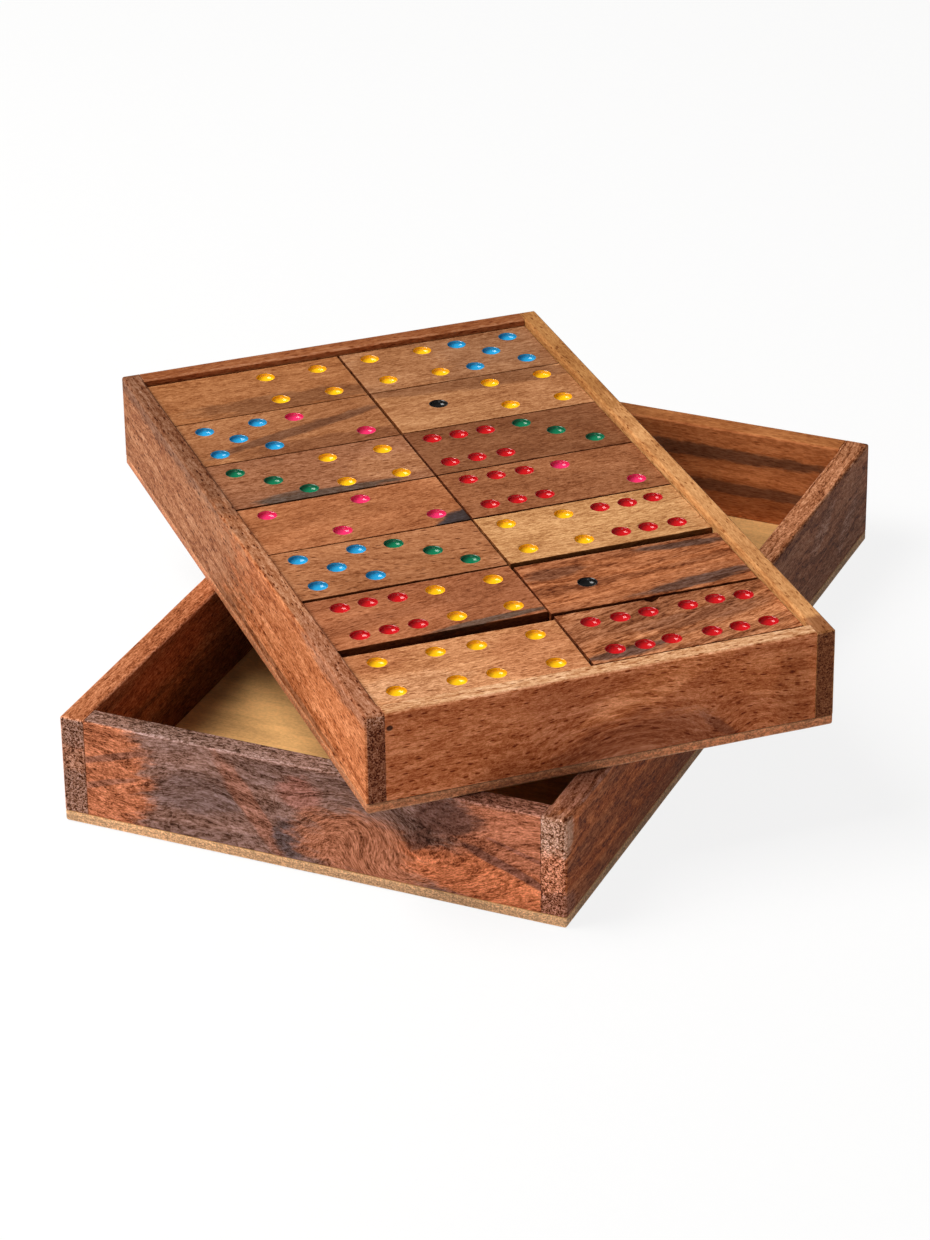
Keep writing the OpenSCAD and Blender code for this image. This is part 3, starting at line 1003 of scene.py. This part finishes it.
LOWER_WOODS = [
    dict(slot="sidewood", light=(0.42, 0.168, 0.071), dark=(0.336, 0.126, 0.055)),
    dict(slot="heartwood", light=(0.336, 0.126, 0.059), dark=(0.218, 0.076, 0.038)),
    dict(slot="sapwood", light=(0.521, 0.244, 0.101), dark=(0.42, 0.176, 0.067)),
]
# Dominoes get darker arrises and sides darkened to about a third, both painted shade in the seams between
# them
USUAL_WOOD = dict(figure_width=4.0, figure=0.6, speckle=0.25, fibre=0.7, worn=-0.45, flanks=0.35)

domino_nodes = sorted(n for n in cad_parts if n.startswith("domino_"))


def lie_of(node):
    """How a domino lies: its turn, its centre and size, and how far off centre its pips were drilled."""
    turn = own_turn(node)
    drilled_off = OFF_CENTRE.get(node.removeprefix("domino_"), (0.0, 0.0))
    return turn, *own_box(node, turn), [shift * MM for shift in drilled_off]


for number, node in enumerate(domino_nodes):
    key = node.removeprefix("domino_")
    left, right = (int(c) for c in key.split("_"))
    turn, centre, size, off = lie_of(node)
    look = {**USUAL_WOOD, **DOMINO_WOODS.get(key, LOWER_WOODS[number % len(LOWER_WOODS)])}
    slot = look.pop("slot")
    piece = sawn_block(node + "_wood", size, 0.22 * MM, number + 1, look.pop("nicks", ()))
    material = wood(node.replace("_", " "), centre, (0, 0, turn), seed=31.0 + 7.3 * number, **look)
    modifier = piece.modifiers.new("pips", "NODES")
    modifier.node_group = drilled
    set_inputs(
        modifier, left_count=left, right_count=right, pip_spacing=PIP_SPACING, half_spacing=HALF_SPACING,
        off_centre=(*off, 0.0), seed=2 * number, drill=drill, wood=material,
    )
    top = centre + Vector((0, 0, size.z / 2))
    settle(piece, Matrix.Translation(top) @ Matrix.Rotation(turn, 4, "Z"))
    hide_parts(node)
    dressed(piece, material, node)
bpy.data.objects.remove(drill)


# ---------------------------------------------------------------------------------------------
# Pips. Gloss enamel, one colour for each number, dripped into each bowl: it lines the bowl, a
# little thicker at the bottom, and dries to a hard shine with an uneven rim.

ENAMELS = {
    1: ("black", (0.008, 0.008, 0.008)),
    2: ("pink", (0.82, 0.03, 0.15)),
    3: ("green", (0.004, 0.19, 0.085)),
    4: ("yellow", (1.0, 0.57, 0.004)),
    5: ("blue", (0.02, 0.36, 0.68)),
    6: ("red", (0.58, 0.006, 0.01)),
}
# How much of the colour is left where the enamel pools, and at the rim, which is darker and redder:
# partly the wood showing through thin enamel, partly painted shade
POOLED = 0.88
THIN_AND_SHADED_RIM = (0.7, 0.4, 0.4)
COAT = 0.2 * MM
# How far the coat's back and its surface lie below the domino's face at the rim
BACK_DROP = 0.11 * MM
SURFACE_DROP = 0.08 * MM

back = [(r, h - BACK_DROP) for r, h in bowl_outline(PIP_WIDTH / 2, PIP_DEPTH + 0.05 * MM, 9)]
surface = bowl_outline(PIP_WIDTH / 2 - 2.3 * RIM_FLARE, PIP_DEPTH - COAT, 9)
cup = lathed("cup", back + [(r, h - SURFACE_DROP) for r, h in reversed(surface)], wobble=0.02)

enamelled, given, result = new_group(
    "Enamelled pips",
    [
        ("Geometry", "Geometry", None),
        ("Count", "Int", 1),
        ("Pip spacing", "Float", PIP_SPACING),
        ("Cup", "Object", None),
        ("Seed", "Int", 1),
        ("Enamel", "Material", None),
    ],
    [("Geometry", "Geometry")],
    "GeometryNodeTree",
)
half = from_group(
    enamelled, half_pips, count=given["Count"], spacing=given["Pip spacing"], seed=given["Seed"]
)[0]
span = {2: 0.0, 3: 2 * pi, "Seed": given["Seed"]}
spin = add(enamelled, "FunctionNodeRandomValue", span, data_type="FLOAT").outputs[1]
heading = vector_of(enamelled, 0.0, 0.0, spin)
heading = add(enamelled, "FunctionNodeEulerToRotation", {0: heading}).outputs[0]
# How near each point of a pip is to its rim, for the darker rim colour there: thin enamel and painted shade
position = add(enamelled, "GeometryNodeInputPosition").outputs[0]
on_level = vector_maths(enamelled, "MULTIPLY", position, (2 / PIP_WIDTH, 2 / PIP_WIDTH, 0.0))
reach = {"Name": "reach", "Value": vector_length(enamelled, on_level)}
drop = add(
    enamelled, "GeometryNodeStoreNamedAttribute", {"Geometry": shape_of(enamelled, given["Cup"]), **reach},
    data_type="FLOAT", domain="POINT",
).outputs[0]
drops = made_real(enamelled, at_points(enamelled, half, drop, heading))
enamelled.links.new(in_material(enamelled, drops, given["Enamel"]), result["Geometry"])

paints = {}
for count, (colour_name, colour) in ENAMELS.items():
    name = colour_name + " enamel"
    paint, tree, shader, place, facing = new_material(name, (0, 0, 0), (0, 0, 0), roughness=0.1, gloss=0.35)
    pool = clouds(tree, place, (0.9, 0.9, 0.9))
    deep = (*[POOLED * c for c in colour], 1)
    thin_and_shaded_rim = (*[share * c for share, c in zip(THIN_AND_SHADED_RIM, colour)], 1)
    tint = mixed(tree, ranged(tree, pool, 0.35, 0.65), deep, (*colour, 1))
    # The ring at the rim is darkened: thin enamel over the wood, and painted shade
    reach = add(tree, "ShaderNodeAttribute", attribute_name="reach").outputs["Fac"]
    tint = mixed(tree, ranged(tree, reach, 0.78, 0.98, 0.0, 0.85), tint, thin_and_shaded_rim)
    coloured(tree, shader, tint, pool, strength=0.3, depth=0.1 * MM)
    paints[count] = paint

for number, node in enumerate(domino_nodes):
    counts = (int(c) for c in node.removeprefix("domino_").split("_"))
    turn, centre, size, off = lie_of(node)
    for side, count in enumerate(counts):
        if count == 0:
            continue
        piece = as_object(bmesh.new(), f"{node}_{('left', 'right')[side]}_pips")
        modifier = piece.modifiers.new("enamel", "NODES")
        modifier.node_group = enamelled
        set_inputs(
            modifier, count=count, pip_spacing=PIP_SPACING, cup=cup, seed=2 * number + side,
            enamel=paints[count],
        )
        middle = Vector(((side - 0.5) * HALF_SPACING + off[0], off[1], size.z / 2))
        domino_place = Matrix.Translation(centre) @ Matrix.Rotation(turn, 4, "Z")
        settle(piece, domino_place @ Matrix.Translation(middle))
        dressed(piece, paints[count], node)
bpy.data.objects.remove(cup)


# ---------------------------------------------------------------------------------------------
# Studio. A pale table that runs up in a wide curve into a pale wall all round, three soft lamps,
# of which the one at the upper left is by far the strongest, and a dim plain sky.

TABLE_REACH = 5.0
WALL_CURVE = 1.0
WALL_TOP = 1.6
CURVE_STEPS = 8
PAPER_WHITE = 0.86

profile = [(0.0, 0.0), (0.5, 0.0), (1.0, 0.0), (2.0, 0.0)]
for i in range(CURVE_STEPS + 1):
    bend = pi / 2 * i / CURVE_STEPS
    profile.append((TABLE_REACH + WALL_CURVE * sin(bend), WALL_CURVE * (1 - cos(bend))))
profile.append((TABLE_REACH + WALL_CURVE, WALL_TOP))
table = lathed("table", profile, segments=48)

paper = bpy.data.materials.new("table paper")
paper.use_nodes = True
tree = paper.node_tree
shader = tree.nodes["Principled BSDF"]
shader.inputs["Roughness"].default_value = 0.9
shader.inputs["Specular IOR Level"].default_value = 0.1
place = add(tree, "ShaderNodeTexCoord").outputs["Object"]
tooth = clouds(tree, place, (300, 300, 300))
paper_tone = mixed(tree, tooth, (0.82, 0.82, 0.82, 1), (0.88, 0.88, 0.88, 1))
tree.links.new(paper_tone, shader.inputs["Base Color"])
# The camera and reflections see plain pale paper. Everything else sees it as the lamps light it
glow = add(tree, "ShaderNodeEmission", {"Color": (1, 1, 1, 1), "Strength": 1.0})
rays = add(tree, "ShaderNodeLightPath").outputs
looked_at = maths(tree, "MAXIMUM", rays["Is Glossy Ray"], rays["Is Transmission Ray"])
looked_at = maths(tree, "MAXIMUM", looked_at, rays["Is Camera Ray"])
shares = {0: times(tree, looked_at, PAPER_WHITE), 1: shader.outputs[0], 2: glow.outputs[0]}
both = add(tree, "ShaderNodeMixShader", shares)
tree.links.new(both.outputs[0], tree.nodes["Material Output"].inputs["Surface"])
table.data.materials.append(paper)

scene = bpy.context.scene
world = bpy.data.worlds.new("sky")
scene.world = world
world.use_nodes = True
sky = world.node_tree.nodes["Background"]
sky.inputs["Color"].default_value = (1.0, 0.98, 0.96, 1)
sky.inputs["Strength"].default_value = 0.18

MIDDLE = Vector((0, 0, 0.03))


def lamp(name, place, size, watts, colour=(1, 1, 1)):
    """A square soft lamp that faces the object."""
    data = bpy.data.lights.new(name, "AREA")
    data.size = size
    data.energy = watts
    data.color = colour
    light = bpy.data.objects.new(name, data)
    light.location = place
    light.rotation_euler = (MIDDLE - Vector(place)).to_track_quat("-Z", "Y").to_euler()
    scene.collection.objects.link(light)


lamp("window", (-0.57, -0.33, 0.96), 0.7, 17.6, (1.0, 0.98, 0.95))
lamp("side", (-1.3, 0.2, 0.22), 0.6, 1.0)
lamp("fill", (0.35, -1.3, 0.28), 0.7, 3.0)

# The camera stands to the right of the box's front, well above it
EYE = Vector((0.35566, -0.82193, 0.4902))
HEADING, PITCH, ROLL = radians(23.7406), 0.4888, -0.0132
LENS, SENSOR = 126.317, 36.0
camera_data = bpy.data.cameras.new("camera")
camera_data.lens = LENS
camera_data.sensor_fit = "VERTICAL"
camera_data.sensor_height = SENSOR
camera_data.clip_start, camera_data.clip_end = 0.05, 50
camera = bpy.data.objects.new("camera", camera_data)
camera.matrix_world = (
    Matrix.Translation(EYE)
    @ Matrix.Rotation(HEADING, 4, "Z")
    @ Matrix.Rotation(pi / 2 - PITCH, 4, "X")
    @ Matrix.Rotation(ROLL, 4, "Z")
)
scene.collection.objects.link(camera)
scene.camera = camera
scene.view_settings.view_transform = "Standard"
